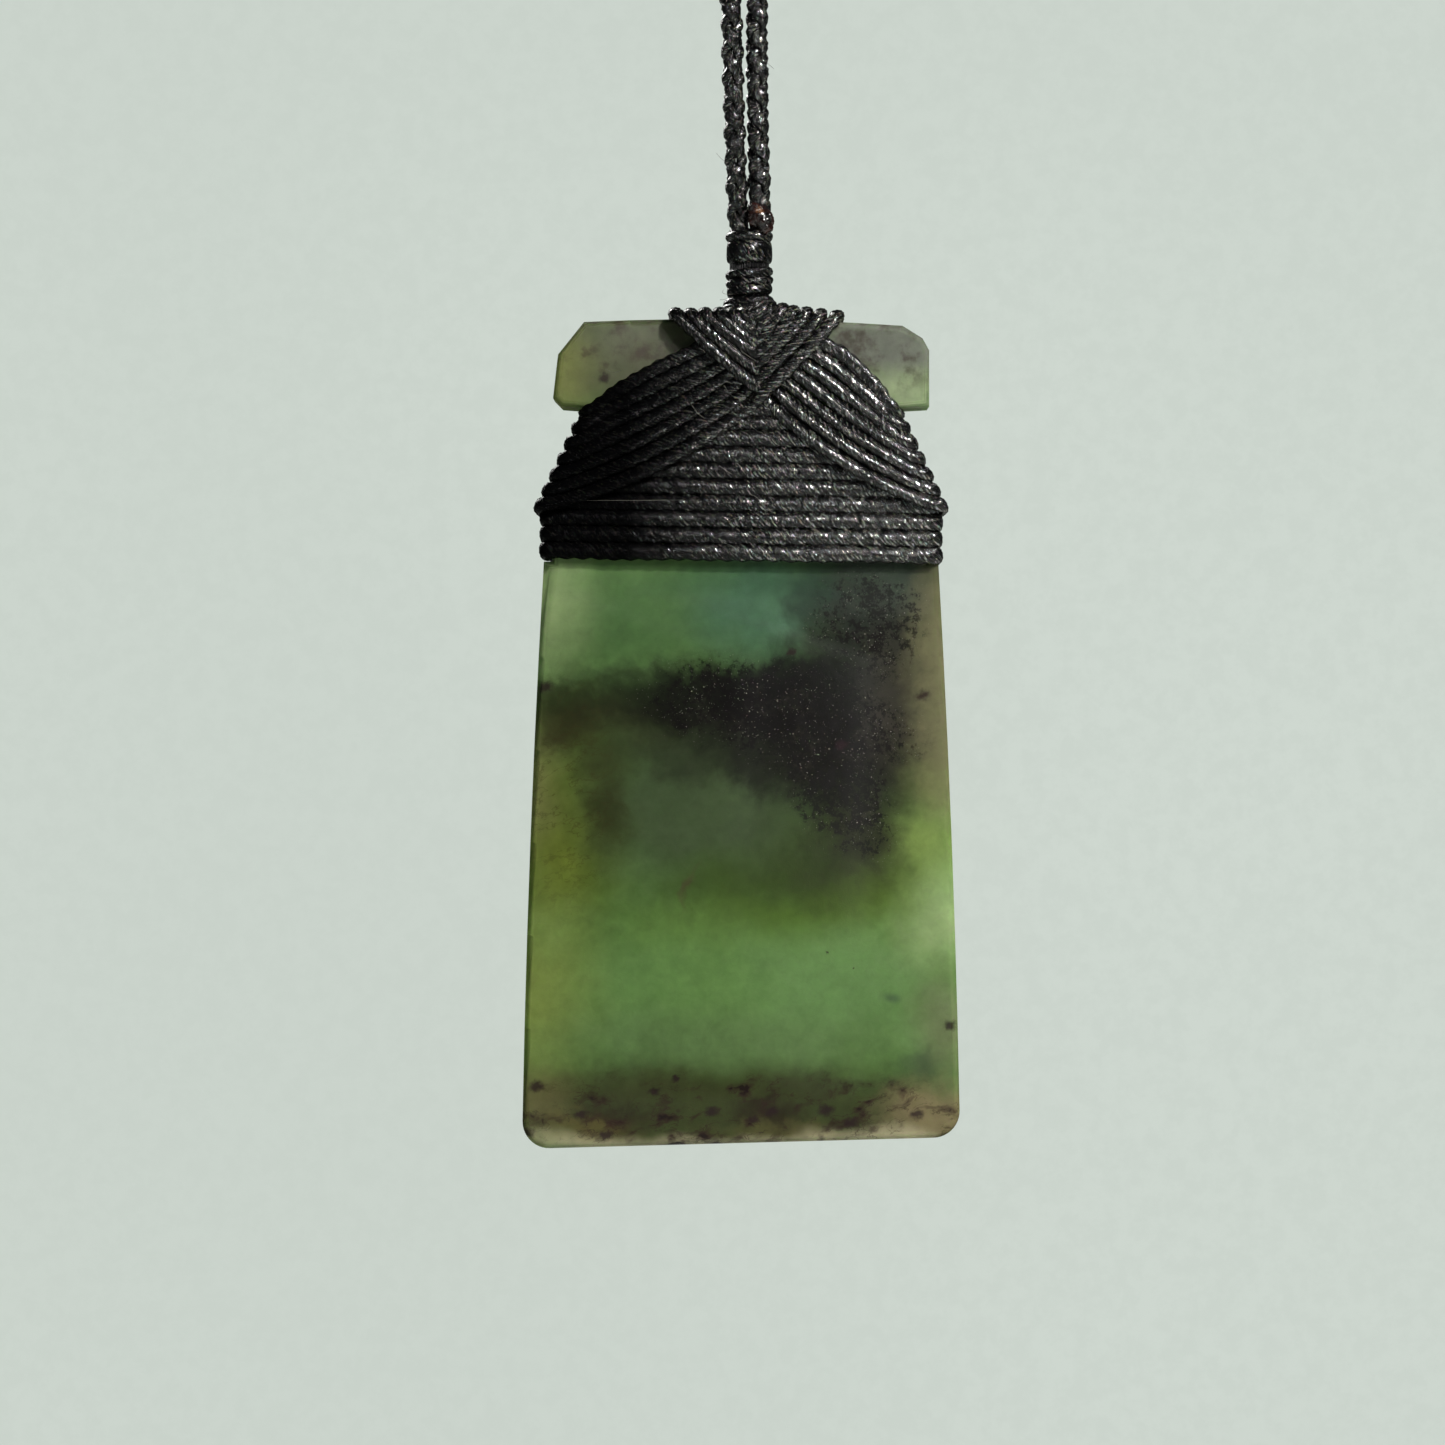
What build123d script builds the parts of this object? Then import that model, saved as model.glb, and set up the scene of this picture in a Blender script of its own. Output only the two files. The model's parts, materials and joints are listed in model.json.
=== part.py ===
from build123d import *
import math
import os

# A stone toki blade, lashed round its throat with waxed cord and hung from a braided neck cord.
# Millimetres. X runs across the blade, Y from front to back and Z up.
# The origin is the underside of the neck cord at the top of its loop.
# Heights in the functions below are counted from the top of the stone, down being negative.

# Stone
stone_height = 58.6
stone_thickness = 5.6
head_width = 26.7
head_height = 5.9
head_chamfer = 2.2
head_corner = 1.9
head_lean = 0.35
head_nick = 0.6
underside_drop = 0.15
throat_width = 21.3
throat_height = 2.0
lashed_width = 26.8
flare_end = 13.6
shoulder_width = 28.0
blade_width = 31.1
side_bow_depth = 0.22
crown_rise = 0.45
crown_fall = 0.3
blade_corner = 1.9
edge_slant = 0.85
edge_round = 0.5
bevel_height = 9.0
bevel_depth = 2.6

# Lashing
clearance = 0.05
lashed_height = 16.9
waist_turns = 8
waist_turn_height = 1.1
waist_turn_thickness = 0.8
cross_turns = 7
cross_cord = 0.70
climb_height = 1.2
cross_angle = 45.0
ridge_left = 4.64
ridge_right = 6.93
lowest_cross = 13.1
over_edge_radius = 0.9
sway_radius = 3.0

# Neck
neck_offset = 0.6
neck_width = 3.3
neck_depth = 2.9
neck_flare = 0.5
root_height = 0.8
lower_band_height = 1.95
upper_band_height = 2.1
band_round = 0.45
braid_diameter = 1.65
singed_width = 2.2
singed_depth = 1.15
singed_height = 2.1

# The run of the braid up its right side, hand placed: out from the pair's middle, up from the top
# of the whipping, and how far the pair leans to the left there. The left side mirrors it about the
# pair's middle, and the two meet over the hang point.
braid_route = [
    (0.86, 0.05, 0.0),
    (0.88, 7.5, 0.25),
    (0.92, 19.5, 0.45),
    (3.4, 38.0, 0.3),
    (11.5, 66.0, 0.0),
    (27.0, 111.5, 0.0),
    (43.5, 160.0, 0.0),
    (55.0, 206.0, 0.0),
    (56.5, 244.0, 0.0),
    (44.0, 278.0, 0.0),
    (18.0, 297.0, 0.0),
]
braid_bend_share = 0.45

# Where each left cross turn passes over the top, in ridge pitches inwards from ridge_left, and
# each right one inwards from ridge_right, with how far up that one sits on the turns below it
left_ridge_steps = [0, 1, 2, 3, 4, 6, 8]
right_ridge_steps = [0, 1, 2, 3, 4, 5, 7]
right_ridge_lifts = [0.0, 0.35, 0.7, 1.0, 1.0, 1.0, 1.0]

half_thickness = stone_thickness / 2
cross_radius = cross_cord / 2
level_step = cross_cord + clearance
ridge_pitch = level_step / math.sin(math.radians(cross_angle))
over_turns_depth = half_thickness + 2 * clearance + waist_turn_thickness + cross_radius
lower_level = half_thickness + clearance + cross_radius
upper_level = max(lower_level + level_step, over_turns_depth)
neck_bottom = crown_rise + 3 * clearance + 2 * cross_cord
neck_top = neck_bottom + root_height + lower_band_height + upper_band_height + 2 * clearance
hang_height = neck_top + braid_route[-1][1] - braid_diameter / 2


def top_of_stone(x):
    """Height of the crowned top edge at x."""
    share = 2 * x / head_width
    return crown_rise * (1 - share * share) - crown_fall * (1 + share) / 2


def side_of_stone(height):
    """Half the stone's width under the lashing."""
    straight = head_height + throat_height
    share = (-height - straight) / (flare_end - straight)
    share = min(1.0, max(0.0, share))
    return throat_width / 2 + share * (lashed_width - throat_width) / 2


def make_stone():
    half_head = head_width / 2
    half_throat = throat_width / 2
    half_shoulder = shoulder_width / 2
    half_blade = blade_width / 2
    half_lashed = lashed_width / 2
    straight = head_height + throat_height
    side_length = stone_height - lashed_height
    top_left = (-half_head + head_chamfer, top_of_stone(-half_head + head_chamfer))
    top_right = (half_head - head_corner, top_of_stone(half_head - head_corner))
    left_bulge = (-(half_shoulder + half_blade) / 2 - side_bow_depth, -lashed_height - side_length / 2)
    right_bulge = (-left_bulge[0], left_bulge[1])
    left_foot = (-half_blade, -stone_height)
    right_foot = (half_blade, -stone_height + edge_slant)
    with BuildSketch(Plane.XZ) as outline:
        with BuildLine():
            ThreePointArc(top_left, (0, top_of_stone(0)), top_right)
            Polyline(
                top_right,
                (half_head - 0.25 * head_corner, -0.55 * head_corner),
                (half_head, -head_corner),
                (half_head, -head_height),
                (half_throat, -head_height - underside_drop),
                (half_throat, -straight),
                (half_lashed, -flare_end),
                (half_lashed, -lashed_height),
                (half_shoulder, -lashed_height),
            )
            ThreePointArc((half_shoulder, -lashed_height), right_bulge, right_foot)
            Line(right_foot, left_foot)
            ThreePointArc(left_foot, left_bulge, (-half_shoulder, -lashed_height))
            Polyline(
                (-half_shoulder, -lashed_height),
                (-half_lashed, -lashed_height),
                (-half_lashed, -flare_end),
                (-half_throat, -straight),
                (-half_throat, -head_height - underside_drop),
                (-half_head + head_nick, -head_height),
                (-half_head, -head_height + head_nick),
                (-half_head + head_lean, -head_chamfer),
                top_left,
            )
        make_face()
        feet = outline.vertices().filter_by(lambda v: v.Y < -lashed_height - side_length / 2)
        fillet(feet, blade_corner)
    blank = extrude(outline.sketch, amount=half_thickness, both=True)
    # The cutting bevel is ground on the back alone
    bevel = Plane.YZ * Polygon(
        (half_thickness, -stone_height + bevel_height),
        (stone_thickness, -stone_height + bevel_height),
        (stone_thickness, -stone_height - bevel_depth),
        (half_thickness - bevel_depth, -stone_height - bevel_depth),
        (half_thickness - bevel_depth, -stone_height),
        align=None,
    )
    ground = blank - extrude(bevel, amount=blade_width, both=True)
    rims = ground.edges().filter_by(lambda e: abs(abs(e.center().Y) - half_thickness) < 0.01)
    return fillet(rims, edge_round)


def make_waist_turn(number):
    """A level turn round the throat, counted from the bottom."""
    pitch = waist_turn_height + clearance
    height = -lashed_height + waist_turn_height / 2 + clearance + number * pitch
    half_width = waist_turn_reach(height)
    half_depth = half_thickness + clearance + waist_turn_thickness / 2
    corner = edge_round + clearance + waist_turn_thickness / 2
    path = Plane.XY.offset(height) * RectangleRounded(2 * half_width, 2 * half_depth, corner)
    path = path.wire()
    start = Plane(origin=path @ 0, z_dir=path % 0, x_dir=(0, 0, 1))
    section = start * Ellipse(waist_turn_height / 2, waist_turn_thickness / 2)
    return sweep(section, path)


def waist_turn_reach(height):
    """How far out the middle of a waist turn runs at its sides."""
    return side_of_stone(height - 0.3 * waist_turn_height) + clearance + waist_turn_thickness / 2


def cross_reach(height):
    """How far out a cross turn runs at its sides, over whatever waist turns lie under it."""
    top_of_waist_turns = -lashed_height + clearance + waist_turns * (waist_turn_height + clearance)
    if height - cross_radius > top_of_waist_turns:
        return side_of_stone(height) + clearance + cross_radius
    under = waist_turn_reach(height - cross_radius) + waist_turn_thickness / 2
    return under + clearance + cross_radius


def make_cross_turn(ridge_x, ridge_height, depth, other_ridge_x, number, side):
    """One diagonal turn: over the top, down the face to one side, and the same up the back.

    depth is how far in front of the middle it lies in the crossing, and side is 1 or -1.
    """
    slope = math.tan(math.radians(cross_angle))
    top_of_waist_turns = -lashed_height + clearance + waist_turns * (waist_turn_height + clearance)
    first_cross = -head_height - underside_drop - clearance - cross_radius
    share = 1 - number / (cross_turns - 1)
    end_height = first_cross + share * (-lowest_cross - first_cross)
    # Where this turn meets the outermost turn of the other set, which runs the other way
    fall = slope * side * (other_ridge_x - ridge_x) / 2
    bend = (ridge_x + (other_ridge_x - ridge_x) / 2, -depth, crown_rise - fall)
    over = end_height - cross_radius < top_of_waist_turns
    end_depth = over_turns_depth if over else lower_level
    end_x = side * cross_reach(end_height)
    points = [(ridge_x, 0, ridge_height), (ridge_x, -depth, ridge_height), bend]
    radii = [over_edge_radius + (depth - lower_level) / 2, sway_radius]
    corner = edge_round + clearance + cross_radius
    if over:
        corner += waist_turn_thickness + clearance
    # A turn from the lower level climbs onto the waist turns where it reaches the first of them
    reach = min(top_of_waist_turns + cross_cord, bend[2] - climb_height)
    along = (bend[2] - reach) / (bend[2] - end_height)
    left_over = (1 - along) * (end_x - bend[0]) * side
    if over and depth < end_depth and left_over > 2.5 * corner:
        points.append((bend[0] + along * (end_x - bend[0]), -end_depth, reach))
        radii.append(sway_radius)
    points += [(end_x, -end_depth, end_height), (end_x, 0, end_height)]
    radii.append(corner)
    path = FilletPolyline(*points, radius=radii)
    section = Plane(origin=path @ 0, z_dir=path % 0) * Circle(cross_radius)
    front = sweep(section, path)
    return front + mirror(front, about=Plane.XZ)


def make_band(bottom, height, width, depth):
    """An oval band of the whipping, rounded at its upper and lower edge."""
    band = extrude(Plane.XY.offset(bottom) * Ellipse(width / 2, depth / 2), amount=height)
    rims = band.edges().filter_by(GeomType.ELLIPSE)
    return Pos(neck_offset, 0, 0) * fillet(rims, band_round)


def make_neck_root():
    foot = Plane.XY.offset(neck_bottom) * Ellipse(
        neck_width / 2 + neck_flare, neck_depth / 2 + neck_flare
    )
    head = Plane.XY.offset(neck_bottom + root_height) * Ellipse(neck_width / 2, neck_depth / 2)
    return Pos(neck_offset, 0, 0) * loft([foot, head])


def make_singed_end():
    """The melted end of the cord, a flattened drop that leans on the right braid."""
    half = (singed_width / 2, singed_depth / 2, singed_height / 2)
    back = -braid_diameter / 2 - clearance
    middle = (neck_offset + braid_route[0][0], back - half[1], neck_top + clearance + half[2])
    return Pos(*middle) * scale(Sphere(1), by=half)


def make_neck_braid():
    """The neck cord, one tube of straight runs joined by tangent arcs."""
    right = [(neck_offset - lean + x, 0, neck_top + z) for x, z, lean in braid_route]
    left = [(neck_offset - lean - x, 0, neck_top + z) for x, z, lean in reversed(braid_route)]
    points = [Vector(*p) for p in right + left]
    radii = []
    for before, corner, after in zip(points, points[1:], points[2:]):
        incoming = corner - before
        outgoing = after - corner
        half_turn = math.radians(incoming.get_angle(outgoing)) / 2
        shorter = min(incoming.length, outgoing.length)
        radii.append(braid_bend_share * shorter / math.tan(half_turn))
    path = FilletPolyline(*points, radius=radii)
    section = Plane(origin=path @ 0, z_dir=path % 0) * Circle(braid_diameter / 2)
    print("braid bend radii", [round(r, 1) for r in radii])
    print("braid length", round(path.length, 1))
    tube = sweep(section, path)
    print("volume over section times length", tube.volume / (section.area * path.length))
    return tube


def make_pieces():
    pieces = {"stone_blade": make_stone()}
    for number in range(waist_turns):
        pieces[f"waist_turn_{number + 1}"] = make_waist_turn(number)
    left_xs = [-ridge_left + ridge_pitch * step for step in left_ridge_steps]
    right_xs = [ridge_right - ridge_pitch * step for step in right_ridge_steps]
    for number, x in enumerate(left_xs):
        height = top_of_stone(x) + clearance + cross_radius
        turn = make_cross_turn(x, height, lower_level, right_xs[0], number, 1)
        pieces[f"cross_turn_left_{number + 1}"] = turn
    for number, (x, lift) in enumerate(zip(right_xs, right_ridge_lifts)):
        height = top_of_stone(x) + clearance + cross_radius + lift * level_step
        turn = make_cross_turn(x, height, upper_level, left_xs[0], number, -1)
        pieces[f"cross_turn_right_{number + 1}"] = turn
    lower_bottom = neck_bottom + root_height + clearance
    upper_bottom = lower_bottom + lower_band_height + clearance
    pieces["neck_root"] = make_neck_root()
    pieces["neck_band_lower"] = make_band(lower_bottom, lower_band_height, neck_width, neck_depth)
    pieces["neck_band_upper"] = make_band(upper_bottom, upper_band_height, neck_width, neck_depth)
    pieces["singed_end"] = make_singed_end()
    pieces["neck_braid"] = make_neck_braid()
    return pieces


os.makedirs("parts", exist_ok=True)
for node, shape in make_pieces().items():
    export_step(Pos(-neck_offset, 0, -hang_height) * shape, f"parts/{node}.step")
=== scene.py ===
import json
import math
import bpy
import numpy as np
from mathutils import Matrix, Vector

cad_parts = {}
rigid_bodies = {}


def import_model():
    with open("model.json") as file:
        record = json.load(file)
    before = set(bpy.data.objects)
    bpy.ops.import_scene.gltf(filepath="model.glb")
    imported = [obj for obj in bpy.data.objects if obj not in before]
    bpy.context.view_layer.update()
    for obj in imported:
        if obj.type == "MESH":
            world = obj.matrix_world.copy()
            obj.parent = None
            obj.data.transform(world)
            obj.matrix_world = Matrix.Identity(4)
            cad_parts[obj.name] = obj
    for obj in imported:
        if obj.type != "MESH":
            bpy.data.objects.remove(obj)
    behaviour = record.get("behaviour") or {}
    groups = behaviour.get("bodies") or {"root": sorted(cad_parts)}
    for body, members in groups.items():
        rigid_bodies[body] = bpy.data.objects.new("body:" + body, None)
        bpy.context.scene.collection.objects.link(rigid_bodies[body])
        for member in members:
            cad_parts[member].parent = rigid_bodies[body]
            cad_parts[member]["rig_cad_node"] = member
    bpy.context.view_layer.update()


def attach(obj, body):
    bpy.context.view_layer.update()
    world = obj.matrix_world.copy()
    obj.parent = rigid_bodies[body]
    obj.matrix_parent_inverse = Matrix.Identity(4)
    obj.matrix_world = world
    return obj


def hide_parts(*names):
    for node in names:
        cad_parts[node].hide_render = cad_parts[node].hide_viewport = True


# A toki pendant: a jade blade lashed with black waxed cord, on a four strand braid.
# Pieces are laid out in millimetres from the top of the stone, and put() takes them to the frame.
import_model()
neckShift = 0.6  # the neck stands this far right of the stone's middle
hangHeight = 303.125  # the loop's underside above the top of the stone
rng = np.random.default_rng(41)
print("frame loaded")


def put(x, y, z):
    return ((x - neckShift) / 1000, y / 1000, (z - hangHeight) / 1000)


def pickOnly(thing):
    bpy.ops.object.select_all(action="DESELECT")
    thing.select_set(True)
    bpy.context.view_layer.objects.active = thing


def addObject(name, data):
    thing = bpy.data.objects.new(name, data)
    bpy.context.collection.objects.link(thing)
    return thing


def addSpline(curve, points, closed, steps):
    spline = curve.splines.new("NURBS")
    spline.points.add(len(points) - 1)
    for knot, point in zip(spline.points, points):
        knot.co = (*point, 1)
    spline.use_cyclic_u = closed
    spline.use_endpoint_u = not closed
    spline.order_u = 3
    spline.resolution_u = steps


def distancesAlong(line):
    return np.concatenate([[0], np.cumsum(np.linalg.norm(np.diff(line, axis=0), axis=1))])


def unitRows(rows):
    return rows / np.linalg.norm(rows, axis=1)[:, None]


def between(first, last, share):
    return first + (last - first) * share


def guideLine(points, closed, spacing):
    # points evenly spaced, by that many millimetres, along the smooth NURBS line of a route
    curve = bpy.data.curves.new("guide", "CURVE")
    curve.dimensions = "3D"
    addSpline(curve, points, closed, 24)
    guide = addObject("guide", curve)
    bpy.context.view_layer.update()
    seen = guide.evaluated_get(bpy.context.evaluated_depsgraph_get())
    mesh = bpy.data.meshes.new_from_object(seen)
    line = np.empty(len(mesh.vertices) * 3)
    mesh.vertices.foreach_get("co", line)
    line = line.reshape(-1, 3)
    bpy.data.meshes.remove(mesh)
    bpy.data.objects.remove(guide, do_unlink=True)
    if closed:
        line = np.vstack([line, line[:1]])
    steps = np.linalg.norm(np.diff(line, axis=0), axis=1)
    keep = np.concatenate([[True], steps > 1e-9])
    line = line[keep]
    along = distancesAlong(line)
    count = max(8, round(along[-1] * 1000 / spacing))
    wanted = np.linspace(0, along[-1], count + 1)
    if closed:
        wanted = wanted[:-1]
    return np.stack([np.interp(wanted, along, line[:, axis]) for axis in range(3)], axis=1)


def tangentsOf(line, closed):
    if closed:
        return unitRows(np.roll(line, -1, axis=0) - np.roll(line, 1, axis=0))
    return unitRows(np.gradient(line, axis=0))


def outwardFrames(line, tangents, outHint, closed):
    # carries the outward direction along the line without letting it twist
    outs = np.empty_like(line)
    out = np.array(outHint, float)
    for number, tangent in enumerate(tangents):
        out = out - tangent * out.dot(tangent)
        out = out / np.linalg.norm(out)
        outs[number] = out
    if closed:
        first, last, tangent = outs[0], outs[-1], tangents[0]
        last = last - tangent * last.dot(tangent)
        last = last / np.linalg.norm(last)
        slip = math.atan2(np.cross(last, first).dot(tangent), last.dot(first))
        share = np.linspace(0, slip, len(line))[:, None]
        outs = outs * np.cos(share) + np.cross(tangents, outs) * np.sin(share)
    return outs


waveLengths = [7.0, 3.1, 1.7]  # millimetres between thick and thin places of a cord
tipReach = 0.0001  # metres that a cut end bulges past its last ring


def twistedCord(name, line, closed, outHint, look, material, outs=None, squeeze=None):
    # a mesh tube with the relief of twisted plies, and a cordSpace attribute that unrolls it
    tangents = tangentsOf(line, closed)
    if outs is None:
        outs = outwardFrames(line, tangents, outHint, closed)
    laterals = np.cross(tangents, outs)
    rings, sides = len(line), look["sides"]
    along = distancesAlong(line) * 1000
    length = along[-1] + (np.linalg.norm(line[0] - line[-1]) * 1000 if closed else 0)
    turns = length / look["twist"]
    if closed:
        turns = round(turns)
    twist = -2 * math.pi * turns * along / length
    phi = np.arange(sides) * 2 * math.pi / sides
    turned = phi[None, :] - twist[:, None]
    ply = 1 + look["plyDepth"] * np.cos(look["plies"] * turned)
    phase = rng.uniform(0, 6.28, 3)
    waves = 2 * math.pi * np.round(length / np.array(waveLengths)) / length
    uneven = 1 + look["uneven"] * sum(np.sin(w * along + p) for w, p in zip(waves, phase)) / 1.7
    if squeeze is None:
        squeeze = np.ones(rings)
    square = look.get("square", 1.0)  # below one, the section is squarer, as in packed turns
    sideways = np.sign(np.cos(phi)) * np.abs(np.cos(phi)) ** square
    outward = np.sign(np.sin(phi)) * np.abs(np.sin(phi)) ** square
    wide = (look["width"] / 2000) * (squeeze * uneven)[:, None] * ply * sideways[None, :]
    deep = (look["depth"] / 2000) * uneven[:, None] * ply * outward[None, :]
    verts = line[:, None, :] + laterals[:, None, :] * wide[..., None]
    verts = (verts + outs[:, None, :] * deep[..., None]).reshape(-1, 3)
    unrolled = np.stack([np.cos(turned), np.sin(turned), np.repeat(along[:, None], sides, 1)], axis=2)
    unrolled[..., :2] *= (look["width"] + look["depth"]) / 4
    unrolled = unrolled.reshape(-1, 3)
    unrolled[:, 0] += rng.uniform(0, 50)
    ringNumbers = np.arange(rings if closed else rings - 1)
    ring, side = np.meshgrid(ringNumbers, np.arange(sides), indexing="ij")
    after, beside = (ring + 1) % rings, (side + 1) % sides
    corners = [ring * sides + side, after * sides + side, after * sides + beside, ring * sides + beside]
    quads = np.stack(corners, axis=2)
    faces = quads.reshape(-1, 4).tolist()
    if not closed:
        tips = len(verts)
        verts = np.vstack([verts, line[0] - tangents[0] * tipReach, line[-1] + tangents[-1] * tipReach])
        unrolled = np.vstack([unrolled, unrolled[0], unrolled[-1]])
        last = (rings - 1) * sides
        faces += [(tips, s, (s + 1) % sides) for s in range(sides)]
        faces += [(tips + 1, last + (s + 1) % sides, last + s) for s in range(sides)]
    mesh = bpy.data.meshes.new(name)
    mesh.from_pydata(verts.tolist(), [], faces)
    mesh.polygons.foreach_set("use_smooth", [True] * len(mesh.polygons))
    lay = mesh.attributes.new("cordSpace", "FLOAT_VECTOR", "POINT")
    lay.data.foreach_set("vector", unrolled.astype(np.float32).ravel())
    mesh.materials.append(material)
    mesh.validate()
    piece = addObject(name, mesh)
    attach(piece, "root")
    return piece


# Shader building


def feed(tree, node, values):
    # links what comes from another node, and sets what is a plain value
    for key, value in values.items():
        if isinstance(value, bpy.types.NodeSocket):
            tree.links.new(value, node.inputs[key])
        else:
            node.inputs[key].default_value = value


def addNode(tree, kind, settings=None, **values):
    # i0 stands for the first input and i1 for the second, where a name won't do
    node = tree.nodes.new(kind)
    for key, value in (settings or {}).items():
        setattr(node, key, value)
    feed(tree, node, {int(key[1:]) if key[1:].isdigit() else key: value for key, value in values.items()})
    return node


def newMaterial(name):
    material = bpy.data.materials.new(name)
    material.use_nodes = True
    tree = material.node_tree
    shader = next(n for n in tree.nodes if n.type == "BSDF_PRINCIPLED")
    at = addNode(tree, "ShaderNodeTexCoord").outputs["Object"]
    return material, tree, shader, at


def mathNode(tree, operation, first, second=0.0, third=0.0):
    settings = {"operation": operation}
    return addNode(tree, "ShaderNodeMath", settings, i0=first, i1=second, i2=third).outputs[0]


def timesNode(tree, first, *others):
    for other in others:
        first = mathNode(tree, "MULTIPLY", first, other)
    return first


def vectorNode(tree, operation, first, second):
    return addNode(tree, "ShaderNodeVectorMath", {"operation": operation}, i0=first, i1=second)


def mixColour(tree, share, first, second, blend="MIX"):
    settings = {"data_type": "RGBA", "blend_type": blend}
    return addNode(tree, "ShaderNodeMix", settings, i0=share, i6=first, i7=second).outputs[2]


def noiseNode(tree, vector, scale, detail=2.0, roughness=0.5, distortion=0.0):
    return addNode(tree, "ShaderNodeTexNoise", None, Vector=vector, Scale=scale, Detail=detail,
                   Roughness=roughness, Distortion=distortion)


def rangeNode(tree, value, low, high, first=0.0, last=1.0, smooth=True):
    settings = {"interpolation_type": "SMOOTHSTEP" if smooth else "LINEAR"}
    node = addNode(tree, "ShaderNodeMapRange", settings, i0=value, i1=low, i2=high, i3=first, i4=last)
    return node.outputs[0]


def bumpNode(tree, strength, distance, height):
    settings = {"Strength": strength, "Distance": distance, "Height": height}
    return addNode(tree, "ShaderNodeBump", None, **settings).outputs[0]


def shown(red, green, blue):
    # a colour as seen on screen, 0 to 255, taken to the linear values that the nodes want
    def linear(level):
        level = level / 255
        return level / 12.92 if level <= 0.04045 else ((level + 0.055) / 1.055) ** 2.4
    return (linear(red), linear(green), linear(blue), 1.0)


def makeFibreGroup():
    # waxed fibres that run along the plies, and the flecks of wax on them, which the cord material also
    # paints as light specks: painted glints
    group = bpy.data.node_groups.new("waxedFibres", "ShaderNodeTree")
    for name in ("Fibre Scale", "Stretch", "Fleck Level"):
        group.interface.new_socket(name=name, in_out="INPUT", socket_type="NodeSocketFloat")
    for name, kind in (("Height", "Float"), ("Fleck", "Float"), ("Tint", "Color"), ("Wear", "Float")):
        group.interface.new_socket(name=name, in_out="OUTPUT", socket_type="NodeSocket" + kind)
    given = group.nodes.new("NodeGroupInput")
    made = group.nodes.new("NodeGroupOutput")
    named = {"attribute_name": "cordSpace", "attribute_type": "GEOMETRY"}
    lay = addNode(group, "ShaderNodeAttribute", named)
    parts = addNode(group, "ShaderNodeSeparateXYZ", None, i0=lay.outputs["Vector"])
    drawn = timesNode(group, parts.outputs[2], given.outputs["Stretch"])
    stretched = addNode(group, "ShaderNodeCombineXYZ", None, i0=parts.outputs[0], i1=parts.outputs[1],
                        i2=drawn)
    fibre = noiseNode(group, stretched.outputs[0], given.outputs["Fibre Scale"], 3.0, 0.6)
    lump = noiseNode(group, lay.outputs["Vector"], 1.6, 2.0, 0.5)
    fleck = noiseNode(group, lay.outputs["Vector"], 4.2, 3.0, 0.75)
    tint = noiseNode(group, lay.outputs["Vector"], 7.0, 1.0, 0.5)
    vivid = addNode(group, "ShaderNodeVectorMath", {"operation": "MULTIPLY_ADD"},
                    i0=tint.outputs["Color"], i1=(3.0, 3.0, 3.0), i2=(-0.8, -0.8, -0.8))
    ridge = mathNode(group, "ABSOLUTE", mathNode(group, "SUBTRACT", fibre.outputs[0], 0.5))
    height = mathNode(group, "MULTIPLY_ADD", lump.outputs[0], 0.4, fibre.outputs[0])
    height = mathNode(group, "MULTIPLY_ADD", ridge, -1.6, height)
    both = timesNode(group, fibre.outputs[0], fleck.outputs[0])
    level = timesNode(group, given.outputs["Fleck Level"], given.outputs["Fleck Level"])
    flecks = rangeNode(group, both, level, mathNode(group, "ADD", level, 0.06))
    feed(group, made, {"Height": height, "Fleck": flecks, "Tint": vivid.outputs[0],
                       "Wear": lump.outputs[0]})
    return group


fibreGroup = makeFibreGroup()


def makeCordMaterial(name, look):
    material, tree, shader, at = newMaterial(name)
    fibres = addNode(tree, "ShaderNodeGroup", {"node_tree": fibreGroup})
    feed(tree, fibres, {"Fibre Scale": look["fibreScale"], "Stretch": look["stretch"],
                        "Fleck Level": look["fleckLevel"]})
    # painted glints: light specks on the wax flecks, mixed into the base colour
    tinted = mixColour(tree, look["tint"], look["paintedGlintColour"], fibres.outputs["Tint"], "OVERLAY")
    base = mixColour(tree, fibres.outputs["Wear"], look["dark"], look["worn"])
    # painted light: seen from the front, the cord gets more light specks and more shine on the right than
    # on the left, standing in for light from the right
    across = addNode(tree, "ShaderNodeSeparateXYZ", None, i0=at).outputs[0]
    polish = rangeNode(tree, across, look["shadedSideFrom"], look["litSideFrom"], 0.0, 1.0, False)
    fleck = fibres.outputs["Fleck"]
    most = rangeNode(tree, polish, 0.0, 1.0, look["paintedGlintShare"] * look["shadedSideGlintShare"], look["paintedGlintShare"])
    shine = rangeNode(tree, polish, 0.0, 1.0, look["shadedSideShine"], look["shine"], False)
    waxShine = rangeNode(tree, polish, 0.0, 1.0, look["shadedSideShine"] * 2, look["waxShine"], False)
    feed(tree, shader, {
        "Base Color": mixColour(tree, timesNode(tree, fleck, most), base, tinted),
        "Specular IOR Level": rangeNode(tree, fleck, 0.0, 1.0, shine, waxShine),
        "Roughness": rangeNode(tree, fleck, 0.0, 1.0, look["roughness"], look["waxRoughness"]),
        "Specular Tint": mixColour(tree, look["glintTint"], (1, 1, 1, 1), fibres.outputs["Tint"]),
        "Normal": bumpNode(tree, look["bump"], look["bumpDepth"], fibres.outputs["Height"]),
        "IOR": look["glassiness"],
    })
    return material


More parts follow.
